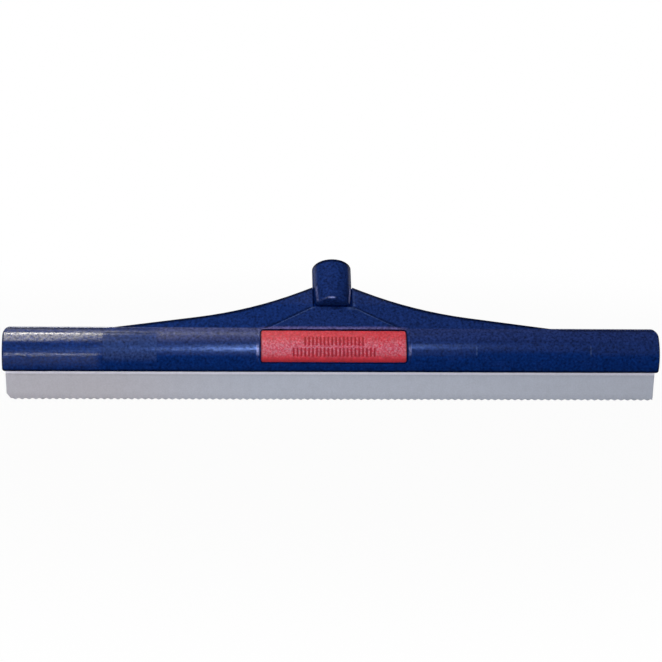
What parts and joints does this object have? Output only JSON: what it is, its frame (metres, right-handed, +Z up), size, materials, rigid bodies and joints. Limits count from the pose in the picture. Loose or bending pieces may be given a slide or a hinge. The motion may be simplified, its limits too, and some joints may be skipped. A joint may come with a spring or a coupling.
{
  "type": "coating squeegee head",
  "caption": "Long coating squeegee head: a rounded blue bar with a swept web and a leaning handle socket, a clamped grey rubber blade with a notched edge, and a red tag on its front.",
  "frame": {"origin": "centre of the handle socket's mouth", "axes": "+X along the bar, to the right seen from the front; +Y to the rear, towards the person who pulls it; +Z up, with the blade hanging down"},
  "size_m": [0.6158, 0.0823, 0.1274],
  "materials": {
    "frame_plastic": "dark blue moulded plastic with a satin sheen",
    "clamp_plastic": "dark blue moulded plastic with a satin sheen",
    "blade_rubber": "light grey rubber, matt",
    "tag_plastic": "red moulded plastic with a satin sheen",
    "screw_steel": "zinc-plated steel",
    "insert_brass": "plain brass"
  },
  "bodies": {
    "frame": {"frame": "frame_plastic", "threaded_insert_1": "insert_brass", "threaded_insert_2": "insert_brass", "threaded_insert_3": "insert_brass", "threaded_insert_4": "insert_brass", "threaded_insert_5": "insert_brass", "threaded_insert_6": "insert_brass", "threaded_insert_7": "insert_brass", "threaded_insert_8": "insert_brass"},
    "clamp": {"clamp_bar": "clamp_plastic", "clamp_screw_1": "screw_steel", "clamp_screw_2": "screw_steel", "clamp_screw_3": "screw_steel", "clamp_screw_4": "screw_steel", "clamp_screw_5": "screw_steel", "clamp_screw_6": "screw_steel", "clamp_screw_7": "screw_steel", "clamp_screw_8": "screw_steel"},
    "blade": {"blade": "blade_rubber"},
    "tag": {"colour_tag": "tag_plastic"}
  },
  "joints": [
    {"name": "clamp_open", "type": "slide", "parent": "frame", "child": "clamp", "axis": [0, 1, 0], "range_m": [0, 0.004]},
    {"name": "blade_slide", "type": "slide", "parent": "frame", "child": "blade", "axis": [1, 0, 0], "range_m": [0, 0.617]},
    {"name": "tag_pull", "type": "slide", "parent": "frame", "child": "tag", "axis": [0, -1, 0], "range_m": [0, 0.02]}
  ]
}
